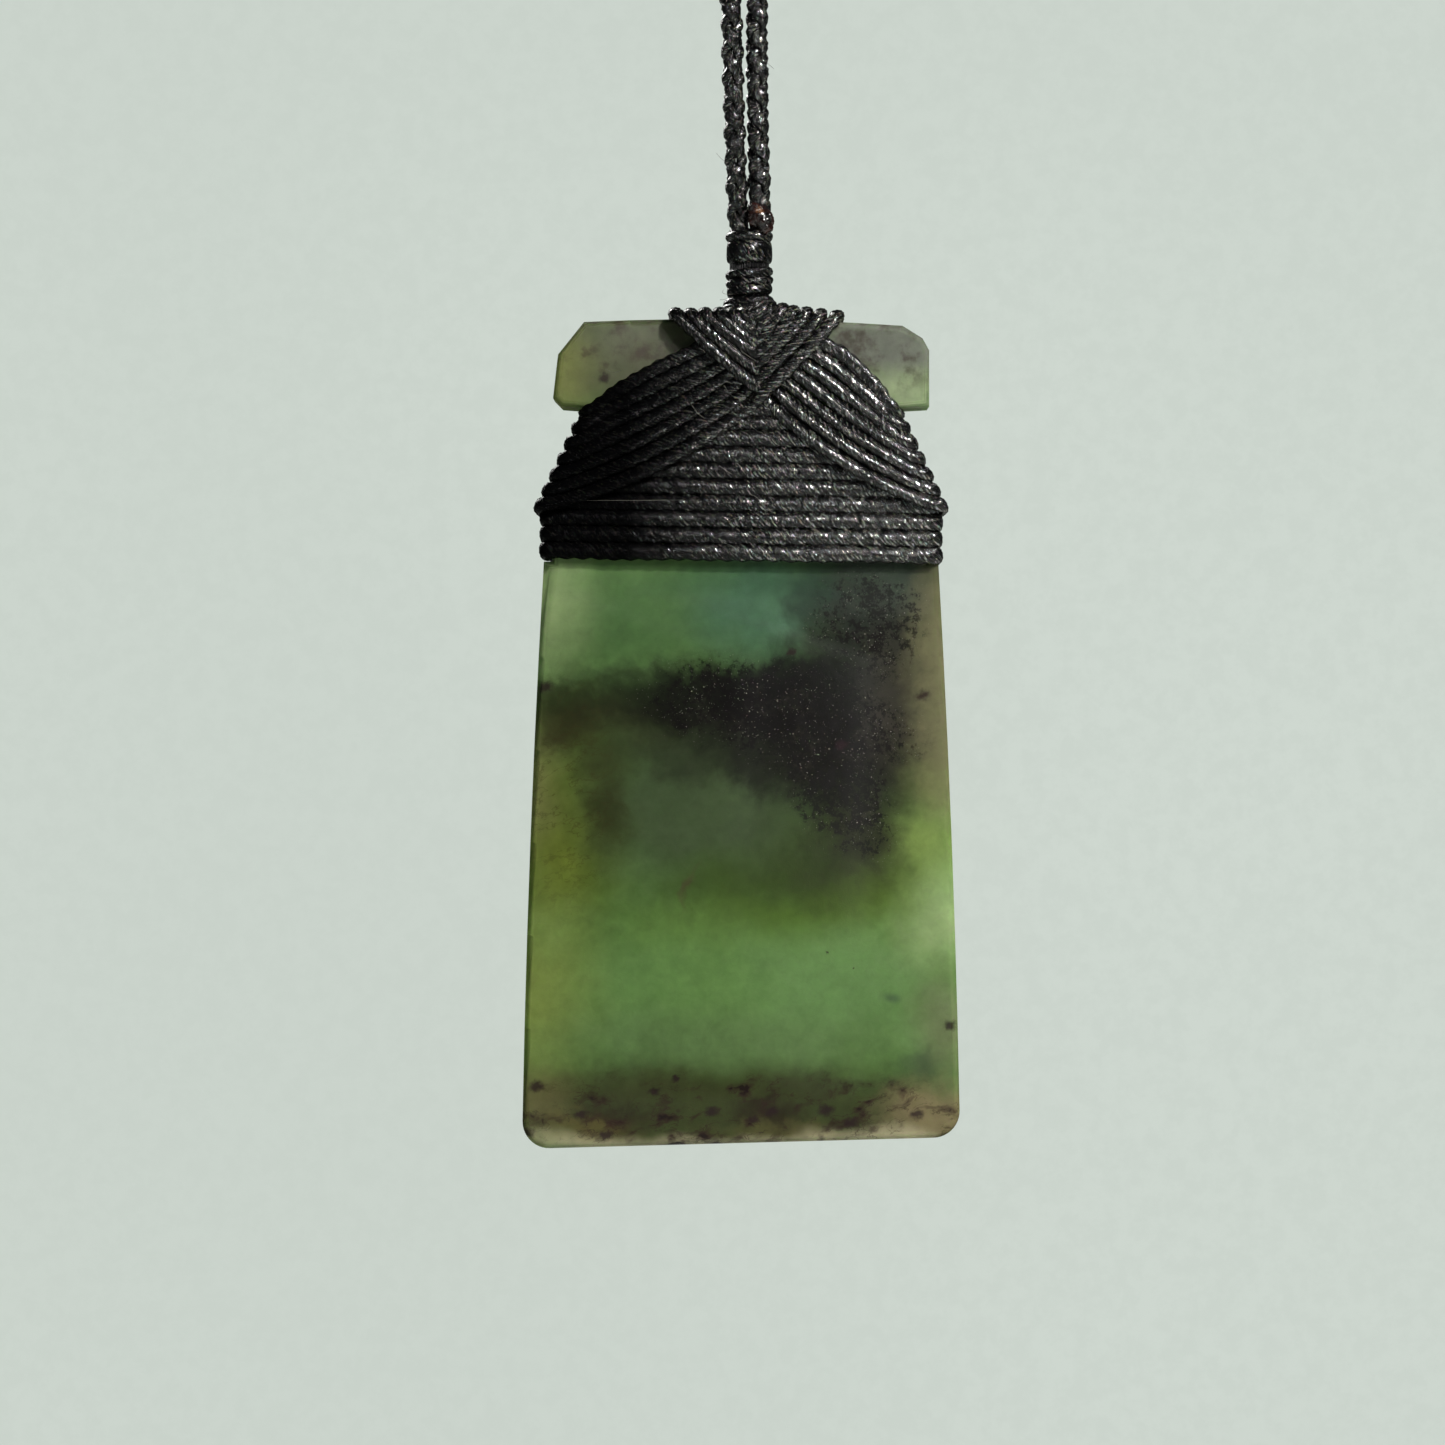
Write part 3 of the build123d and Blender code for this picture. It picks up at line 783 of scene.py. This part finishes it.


# Stone: the imported solid keeps its shape, and gets its jade from soft zones of colour, a peppered cloud,
# veins and spots; a few zones paint light and shade. A later zone lies over an earlier one.

stoneZones = [
    # across, height, half width, half height, turn in degrees, colour on screen, strength,
    # share of the zone that is full, and whether its edge is ragged
    (-6.3, -20.2, 9.5, 5.4, 0, (63, 90, 52), 0.9, 0.25, 0),
    # painted light, in part: pale zones centred about 15 mm left or right hold the jade's tone and paint
    # light shining through the thin edges
    (-15.0, -20.0, 5.6, 6.6, 0, (134, 150, 106), 0.75, 0.0, 0),
    (1.6, -20.3, 5.8, 4.8, 0, (55, 86, 67), 0.85, 0.3, 0),
    (3.4, -21.6, 1.9, 1.4, -20, (84, 116, 94), 0.5, 0.05, 1),
    (-13.4, -34.6, 6.4, 8.4, 0, (80, 88, 26), 0.85, 0.1, 0),
    # painted light, in part: pale edge zone, the jade's tone and light shining through the thin edge
    (-15.2, -32.4, 2.8, 6.4, 0, (118, 118, 74), 0.65, 0.05, 0),
    (-13.2, -38.6, 3.4, 3.6, 0, (92, 102, 30), 0.6, 0.1, 0),
    (-10.0, -39.6, 3.2, 2.8, 0, (68, 82, 24), 0.5, 0.2, 0),
    (-2.4, -34.2, 9.6, 6.8, 0, (56, 68, 45), 0.92, 0.4, 0),
    (1.0, -39.8, 10.0, 3.0, 4, (44, 60, 14), 0.78, 0.15, 0),
    (13.4, -32.0, 3.6, 4.8, 0, (104, 112, 66), 0.85, 0.15, 0),
    (12.2, -37.3, 5.2, 3.6, 0, (110, 128, 66), 0.8, 0.0, 0),
    (9.2, -40.2, 4.4, 2.4, 10, (78, 98, 34), 0.75, 0.15, 0),
    (0.6, -42.6, 14.0, 2.4, 3, (70, 92, 30), 0.6, 0.15, 0),
    (6.2, -41.4, 4.6, 2.4, 8, (64, 86, 26), 0.6, 0.2, 0),
    (-2.4, -46.4, 12.5, 4.6, 0, (88, 119, 65), 0.85, 0.2, 0),
    (7.0, -47.2, 7.6, 4.8, 0, (93, 124, 74), 0.7, 0.2, 0),
    (10.8, -48.0, 0.7, 0.5, 0, (56, 72, 56), 0.6, 0.1, 0),
    (-3.7, -40.2, 0.5, 1.5, -25, (66, 56, 40), 0.6, 0.1, 1),
    # painted light, in part: pale edge zones, the jade's tone and light shining through the thin edges
    (14.8, -42.0, 4.6, 4.2, 0, (134, 152, 106), 0.8, 0.0, 0),
    (-15.4, -47.0, 6.2, 9.5, 0, (118, 130, 64), 0.8, 0.0, 0),
    (-1.4, -51.2, 14.0, 3.0, 0, (82, 104, 64), 0.7, 0.2, 0),
    (14.6, -50.0, 3.2, 4.6, 0, (100, 104, 76), 0.7, 0.1, 0),
    (12.5, -52.6, 2.0, 1.8, 30, (54, 62, 50), 0.6, 0.1, 1),
    (10.6, -19.6, 7.2, 6.6, -10, (36, 45, 38), 0.97, 0.5, 0),
    (11.2, -18.8, 4.6, 2.6, -10, (62, 70, 60), 0.4, 0.1, 1),
    (4.9, -18.9, 2.3, 2.9, -15, (34, 54, 42), 0.75, 0.2, 1),
    (-2.6, -18.3, 4.0, 1.4, 0, (54, 84, 54), 0.5, 0.2, 0),
    (1.6, -18.2, 3.0, 1.6, 0, (42, 68, 50), 0.5, 0.2, 0),
    (14.6, -21.6, 2.4, 6.0, 0, (82, 78, 56), 0.7, 0.1, 0),
    (12.4, -27.0, 4.2, 5.4, 0, (44, 40, 28), 0.85, 0.3, 1),
    (-7.5, -25.0, 6.8, 1.6, -2, (42, 52, 32), 0.6, 0.2, 1),
    (-11.6, -26.9, 6.0, 2.0, -4, (22, 17, 10), 0.8, 0.3, 1),
    (-13.0, -28.8, 4.2, 1.9, 4, (36, 29, 17), 0.8, 0.2, 1),
    (-7.0, -28.2, 5.0, 2.8, -10, (42, 44, 26), 0.8, 0.25, 1),
    (-9.5, -34.6, 2.4, 4.4, -12, (38, 40, 18), 0.8, 0.1, 1),
    (-10.2, -30.8, 3.0, 2.0, 0, (42, 44, 23), 0.7, 0.2, 1),
    (-4.0, -30.6, 5.0, 1.9, -12, (36, 42, 28), 0.72, 0.3, 1),
    (6.2, -38.0, 5.6, 4.0, -20, (38, 45, 22), 0.75, 0.3, 1),
    (-0.9, -26.9, 9.0, 3.3, -6, (11, 9, 9), 0.96, 0.5, 1),
    (6.0, -27.6, 8.6, 5.0, -8, (9, 7, 8), 0.97, 0.55, 1),
    (9.4, -24.0, 7.0, 4.6, -20, (24, 26, 22), 0.8, 0.4, 1),
    (2.8, -24.9, 5.0, 1.4, 4, (16, 17, 15), 0.75, 0.25, 1),
    (7.2, -31.6, 6.8, 4.4, -35, (14, 12, 10), 0.95, 0.45, 1),
    (1.2, -31.1, 7.2, 2.4, -30, (20, 20, 16), 0.86, 0.35, 1),
    (8.4, -36.6, 3.8, 3.2, -30, (30, 31, 20), 0.9, 0.3, 1),
    (10.6, -27.0, 2.4, 7.0, 4, (58, 55, 46), 0.5, 0.1, 1),
    (14.6, -26.8, 3.1, 10.4, 2, (98, 96, 70), 0.9, 0.25, 1),
    (-1.5, -56.2, 22.0, 4.0, 0, (46, 48, 24), 0.9, 0.42, 0),
    (-8.0, -54.3, 7.0, 1.6, 2, (52, 56, 32), 0.6, 0.2, 1),
    (4.6, -54.3, 3.6, 1.2, 0, (50, 54, 32), 0.6, 0.2, 1),
    (-9.0, -56.4, 3.4, 1.2, 0, (34, 24, 18), 0.8, 0.2, 1),
    (1.8, -56.3, 3.0, 1.3, -10, (32, 22, 16), 0.75, 0.2, 1),
    (-14.8, -55.4, 3.4, 3.8, 0, (88, 82, 52), 0.7, 0.1, 0),
    (13.4, -56.4, 4.2, 3.0, 0, (118, 106, 78), 0.8, 0.25, 1),
    (-11.0, -57.2, 4.4, 1.3, 0, (88, 80, 44), 0.6, 0.1, 1),
    (3.0, -57.6, 6.0, 1.0, -3, (84, 78, 46), 0.5, 0.1, 1),
    # painted light: a pale band along the bottom rim, where light shines through the thin edge
    (0.0, -58.8, 18.8, 1.2, -1.5, (164, 156, 126), 0.78, 0.3, 0),
    (9.6, -58.2, 6.6, 1.1, -1.5, (182, 172, 142), 0.6, 0.2, 0),
]
headZones = [
    # painted shadow: a darker zone beside the left of the V, where the cross turns throw their shadow on
    # the wing
    (-5.0, -2.0, 4.5, 4.4, 0, (52, 56, 42), 0.95, 0.5, 0),
    (-9.6, -2.2, 6.0, 4.4, 0, (74, 77, 58), 0.95, 0.4, 0),
    (-12.8, -3.8, 3.0, 4.0, 0, (108, 112, 64), 0.8, 0.0, 0),
    (10.5, -1.6, 6.5, 3.0, -8, (98, 100, 92), 0.95, 0.4, 1),
    (11.4, -5.0, 4.0, 2.1, 0, (136, 148, 116), 0.85, 0.25, 0),
]
stoneSpots = [
    # across, height, radius: single dark marks in the jade
    (-14.5, -54.1, 0.55), (-15.2, -57.4, 0.5), (-11.3, -56.1, 0.45), (-9.6, -57.6, 0.5), (-6.1, -54.5, 0.4),
    (-4.6, -53.6, 0.35), (-2.1, -55.9, 0.5), (0.9, -56.5, 0.35), (2.2, -55.9, 0.45), (6.0, -55.8, 0.55),
    (7.8, -56.7, 0.5), (12.5, -56.1, 0.5), (14.8, -49.8, 0.45), (6.1, -44.6, 0.14), (8.0, -45.7, 0.1),
    (12.9, -26.4, 0.5), (7.1, -29.9, 0.45), (3.6, -23.3, 0.3), (-9.7, -3.9, 0.45), (-13.9, -25.8, 0.55),
]
zoneFade = 1.25  # a zone is gone at this many times its reach
zoneDeep = 30  # half depth of a zone, which goes right through the stone


def makeZoneGroup():
    group = bpy.data.node_groups.new("softZone", "ShaderNodeTree")
    for name, kind in (("Place", "Vector"), ("Centre", "Vector"), ("Reach", "Vector"),
                       ("Turn", "Float"), ("Inner", "Float")):
        group.interface.new_socket(name=name, in_out="INPUT", socket_type="NodeSocket" + kind)
    group.interface.new_socket(name="Mask", in_out="OUTPUT", socket_type="NodeSocketFloat")
    given = group.nodes.new("NodeGroupInput")
    made = group.nodes.new("NodeGroupOutput")
    off = vectorNode(group, "SUBTRACT", given.outputs["Place"], given.outputs["Centre"])
    turned = addNode(group, "ShaderNodeVectorRotate", {"rotation_type": "Y_AXIS"}, Vector=off.outputs[0],
                     Angle=given.outputs["Turn"])
    scaled = vectorNode(group, "DIVIDE", turned.outputs[0], given.outputs["Reach"])
    away = addNode(group, "ShaderNodeVectorMath", {"operation": "LENGTH"}, i0=scaled.outputs[0])
    mask = rangeNode(group, away.outputs["Value"], given.outputs["Inner"], zoneFade, 1.0, 0.0)
    group.links.new(mask, made.inputs["Mask"])
    return group


zoneGroup = makeZoneGroup()


def zoneMask(tree, place, across, height, wide, tall, turn, inner):
    settings = {"node_tree": zoneGroup}
    zone = addNode(tree, "ShaderNodeGroup", settings, Place=place, Centre=(across, 0, height),
                   Reach=(wide, zoneDeep, tall), Turn=math.radians(turn), Inner=inner)
    return zone.outputs[0]


def shifted(tree, place, scale, detail, amount):
    # the place nudged by a noise, so that zones get soft ragged edges
    noise = noiseNode(tree, place, scale, detail, 0.55)
    centred = vectorNode(tree, "SUBTRACT", noise.outputs["Color"], (0.5, 0.5, 0.5))
    nudge = addNode(tree, "ShaderNodeVectorMath", {"operation": "SCALE"}, i0=centred.outputs[0],
                    Scale=amount)
    return vectorNode(tree, "ADD", place, nudge.outputs[0]).outputs[0]


stoneLook = {
    "tones": {
        "deep": (76, 104, 54), "pale": (92, 122, 70), "blot": (40, 23, 22), "blotCore": (18, 8, 11),
        "vein": (50, 42, 20), "haze": (46, 45, 38), "pepper": (11, 9, 9), "glint": (236, 232, 214),
        "mottle": (52, 40, 34), "spot": (34, 20, 24),
    },
    "polish": (0.3, 0.42), "groundEdge": 0.7, "shine": 0.2, "edgeShine": 0.06, "glassiness": 1.6,
    "glow": 0.35, "glowReach": (0.5, 1.0, 0.35), "glowDepth": 0.0022,
}


def makeStoneMaterial(look):
    tone = {word: shown(*levels) for word, levels in look["tones"].items()}
    material, tree, shader, at = newMaterial("jadeStone")
    place = addNode(tree, "ShaderNodeMapping", {"vector_type": "POINT"}, Vector=at,
                    Location=(neckShift, 0, hangHeight), Scale=(1000, 1000, 1000)).outputs[0]
    soft = shifted(tree, place, 0.16, 3.0, 3.2)
    ragged = shifted(tree, soft, 0.9, 4.0, 2.2)
    cloud = noiseNode(tree, place, 0.22, 4.0, 0.55, 0.6).outputs[0]
    colour = mixColour(tree, rangeNode(tree, cloud, 0.3, 0.7), tone["deep"], tone["pale"])
    for across, height, wide, tall, turn, patch, strength, inner, rough in stoneZones + headZones:
        mask = zoneMask(tree, ragged if rough else soft, across, height, wide, tall, turn, inner)
        colour = mixColour(tree, timesNode(tree, mask, strength), colour, shown(*patch))
    # veins and blots along the foot, and fine veins up the left side
    grain = noiseNode(tree, place, 2.3, 4.0, 0.75).outputs[0]
    fine = noiseNode(tree, place, 9.0, 2.0, 0.6).outputs[0]
    wavy = shifted(tree, place, 0.5, 3.0, 1.6)
    drawn = addNode(tree, "ShaderNodeMapping", {"vector_type": "TEXTURE"}, Vector=wavy,
                    Rotation=(0, math.radians(-14), 0), Scale=(2.2, 1.0, 1.0)).outputs[0]
    veinWave = noiseNode(tree, drawn, 0.9, 4.0, 0.6).outputs[0]
    offMiddle = mathNode(tree, "ABSOLUTE", mathNode(tree, "SUBTRACT", veinWave, 0.5))
    vein = rangeNode(tree, offMiddle, 0.0, 0.026, 1.0, 0.0)
    patches = noiseNode(tree, drawn, 1.0, 3.0, 0.5).outputs[0]
    blot = rangeNode(tree, patches, 0.5, 0.68)
    core = rangeNode(tree, patches, 0.63, 0.7)
    foot = zoneMask(tree, soft, 0.0, -56.4, 22.0, 3.1, 0, 0.5)
    threads = timesNode(tree, vein, rangeNode(tree, patches, 0.38, 0.55, 0.0, 0.8))
    marks = mathNode(tree, "MAXIMUM", threads, blot)
    colour = mixColour(tree, timesNode(tree, foot, marks, 0.85), colour, tone["blot"])
    colour = mixColour(tree, timesNode(tree, foot, core, 0.85), colour, tone["blotCore"])
    flank = zoneMask(tree, soft, -12.5, -33.0, 4.5, 9.0, 0, 0.4)
    colour = mixColour(tree, timesNode(tree, flank, vein, 0.4), colour, tone["vein"])
    # the dark cloud is mottled, peppered past its edge and up to the lashing, with small bright glints
    body = zoneMask(tree, ragged, 3.0, -27.8, 10.4, 3.9, -12, 0.4)
    tail = zoneMask(tree, ragged, 6.6, -33.0, 6.4, 3.4, -55, 0.4)
    crown = zoneMask(tree, ragged, 9.2, -21.4, 4.8, 4.8, -10, 0.3)
    lower = mathNode(tree, "MAXIMUM", body, tail)
    cloudZone = mathNode(tree, "MAXIMUM", lower, timesNode(tree, crown, 0.72))
    paler = noiseNode(tree, ragged, 0.45, 4.0, 0.65).outputs[0]
    hazy = timesNode(tree, cloudZone, rangeNode(tree, paler, 0.5, 0.66, 0.0, 0.45))
    colour = mixColour(tree, hazy, colour, tone["haze"])
    dense = mathNode(tree, "MULTIPLY_ADD", cloudZone, 0.16, grain)
    within = rangeNode(tree, cloudZone, 0.1, 0.45)
    peppered = timesNode(tree, within, rangeNode(tree, dense, 0.58, 0.67), 0.8)
    colour = mixColour(tree, peppered, colour, tone["pepper"])
    sparkle = noiseNode(tree, place, 13.0, 1.0, 0.5).outputs[0]
    glints = timesNode(tree, cloudZone, rangeNode(tree, sparkle, 0.745, 0.785),
                       rangeNode(tree, paler, 0.35, 0.6, 0.3, 1.0))
    colour = mixColour(tree, glints, colour, tone["glint"])
    # brown mottle on the head, then single spots
    wings = zoneMask(tree, soft, 0.0, -1.8, 18.0, 4.4, 0, 0.6)
    mottle = rangeNode(tree, noiseNode(tree, place, 0.55, 4.0, 0.6).outputs[0], 0.48, 0.68)
    colour = mixColour(tree, timesNode(tree, wings, mottle, 0.7), colour, tone["mottle"])
    spots = None
    near = shifted(tree, place, 2.2, 3.0, 0.7)
    for across, height, radius in stoneSpots:
        mask = zoneMask(tree, near, across, height, radius * 1.2, radius * 0.85, 15, 0.3)
        spots = mask if spots is None else mathNode(tree, "MAXIMUM", spots, mask)
    colour = mixColour(tree, timesNode(tree, spots, 0.85), colour, tone["spot"])
    # a mild lighter and darker grain over it all
    mild = noiseNode(tree, shifted(tree, place, 0.8, 3.0, 1.0), 0.9, 5.0, 0.62).outputs[0]
    level = rangeNode(tree, mild, 0.25, 0.75, 1.24, 0.9, False)
    grey = addNode(tree, "ShaderNodeCombineXYZ", None, i0=level, i1=level, i2=level).outputs[0]
    colour = mixColour(tree, 1.0, colour, grey, "MULTIPLY")
    # the ground edges are duller than the polished faces
    facing = addNode(tree, "ShaderNodeTexCoord").outputs["Normal"]
    sideways = addNode(tree, "ShaderNodeSeparateXYZ", None, i0=facing).outputs[0]
    aside = mathNode(tree, "ABSOLUTE", sideways)
    edge = rangeNode(tree, aside, 0.02, 0.14)
    face = rangeNode(tree, grain, 0.3, 0.7, *look["polish"])
    feed(tree, shader, {
        "Base Color": colour,
        "Roughness": rangeNode(tree, edge, 0.0, 1.0, face, look["groundEdge"]),
        "Specular IOR Level": rangeNode(tree, edge, 0.0, 1.0, look["shine"], look["edgeShine"]),
        "Normal": bumpNode(tree, 0.12, 0.00005, fine),
        "IOR": look["glassiness"], "Subsurface Weight": look["glow"],
        "Subsurface Radius": look["glowReach"], "Subsurface Scale": look["glowDepth"],
    })
    return material


def finishStone():
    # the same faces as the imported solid, joined up so that its curved faces shade smoothly
    solid = next(o for o in bpy.context.scene.objects if o.get("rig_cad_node") == "stone_blade")
    stone = addObject("jade_blade", solid.data.copy())
    stone.matrix_world = solid.matrix_world.copy()
    pickOnly(stone)
    bpy.ops.object.transform_apply(location=True, rotation=True, scale=True)
    bpy.ops.object.mode_set(mode="EDIT")
    bpy.ops.mesh.select_all(action="SELECT")
    bpy.ops.mesh.remove_doubles(threshold=0.000001)
    bpy.ops.object.mode_set(mode="OBJECT")
    bpy.ops.object.shade_smooth_by_angle(angle=math.radians(32))
    stone.data.materials.clear()
    stone.data.materials.append(makeStoneMaterial(stoneLook))
    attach(stone, "root")
    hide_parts("stone_blade")


finishStone()
print("stone finished")


# Stage: a pale floor well below, pale surroundings, a key light from the upper right, a small light
# for the sheen of the wax, a soft fill from the left and a light from behind

stageLook = {
    "wall": (214, 222, 214), "floorDrop": 0.62, "floorSize": 2.0, "floorGlow": 0.5, "roomLight": 0.06,
    "cameraBack": 0.38, "fieldWidth": 0.1032, "aim": (-0.00192, -0.33145), "middle": (0.0, 0.0, -0.33),
    "lights": {
        # place, size, power in watts and tone
        "keyLight": ((0.42, -0.60, 0.24), 0.09, 8.6, (1.0, 0.98, 0.94)),
        "sheenLight": ((0.28, -0.5, -0.03), 0.15, 1.5, (1.0, 0.99, 0.97)),
        "softFill": ((-0.5, -0.7, -0.2), 0.7, 0.5, (0.94, 0.98, 1.0)),
        "backLight": ((-0.35, 0.65, 0.1), 0.3, 4.0, (1.0, 0.99, 0.96)),
    },
}


def makeFloor(look):
    bpy.ops.object.select_all(action="DESELECT")
    bpy.ops.mesh.primitive_plane_add(size=look["floorSize"], location=(0, 0, -look["floorDrop"]))
    floor = bpy.context.object
    floor.name = "pale_floor"
    material, tree, shader, at = newMaterial("paleFloor")
    grain = noiseNode(tree, at, 60.0, 3.0, 0.6).outputs[0]
    # pale to the camera, without throwing light up at the cords
    ray = addNode(tree, "ShaderNodeLightPath").outputs["Is Camera Ray"]
    feed(tree, shader, {
        "Base Color": mixColour(tree, grain, shown(206, 212, 206), shown(222, 228, 222)),
        "Roughness": 0.8,
        "Emission Color": shown(*look["wall"]),
        "Emission Strength": timesNode(tree, ray, look["floorGlow"]),
    })
    floor.data.materials.append(material)


def makeWorld(look):
    world = bpy.data.worlds.new("paleRoom")
    bpy.context.scene.world = world
    world.use_nodes = True
    tree = world.node_tree
    tree.nodes.clear()
    at = addNode(tree, "ShaderNodeTexCoord").outputs["Generated"]
    grain = noiseNode(tree, at, 260.0, 3.0, 0.7).outputs[0]
    cloud = noiseNode(tree, at, 3.0, 2.0, 0.5).outputs[0]
    pale = mixColour(tree, rangeNode(tree, cloud, 0.3, 0.7), shown(202, 211, 203), shown(208, 217, 209))
    seen = mixColour(tree, rangeNode(tree, grain, 0.35, 0.65, 0.0, 0.35), pale, shown(197, 206, 198))
    backdrop = addNode(tree, "ShaderNodeBackground", None, Color=seen, Strength=1.0)
    lit = addNode(tree, "ShaderNodeBackground", None, Color=(0.78, 0.84, 0.80, 1.0),
                  Strength=look["roomLight"])
    ray = addNode(tree, "ShaderNodeLightPath").outputs["Is Camera Ray"]
    mixed = addNode(tree, "ShaderNodeMixShader", None, i0=ray, i1=lit.outputs[0], i2=backdrop.outputs[0])
    addNode(tree, "ShaderNodeOutputWorld", None, i0=mixed.outputs[0])


def addLight(name, place, aim, size, power, tone):
    bpy.ops.object.light_add(type="AREA", location=place)
    light = bpy.context.object
    light.name = name
    light.data.shape = "DISK"
    light.data.size = size
    light.data.energy = power
    light.data.color = tone
    light.rotation_euler = (Vector(aim) - Vector(place)).to_track_quat("-Z", "Y").to_euler()


makeFloor(stageLook)
makeWorld(stageLook)
for name, (place, size, power, tone) in stageLook["lights"].items():
    addLight(name, place, stageLook["middle"], size, power, tone)

viewed = (stageLook["aim"][0], -stageLook["cameraBack"], stageLook["aim"][1])
bpy.ops.object.camera_add(location=viewed, rotation=(math.radians(90), 0, 0))
camera = bpy.context.object
camera.data.sensor_width = 36
camera.data.lens = 18 / (stageLook["fieldWidth"] / 2 / stageLook["cameraBack"])
camera.data.clip_start = 0.01
bpy.context.scene.camera = camera
bpy.context.scene.view_settings.view_transform = "Standard"
print("stage made")
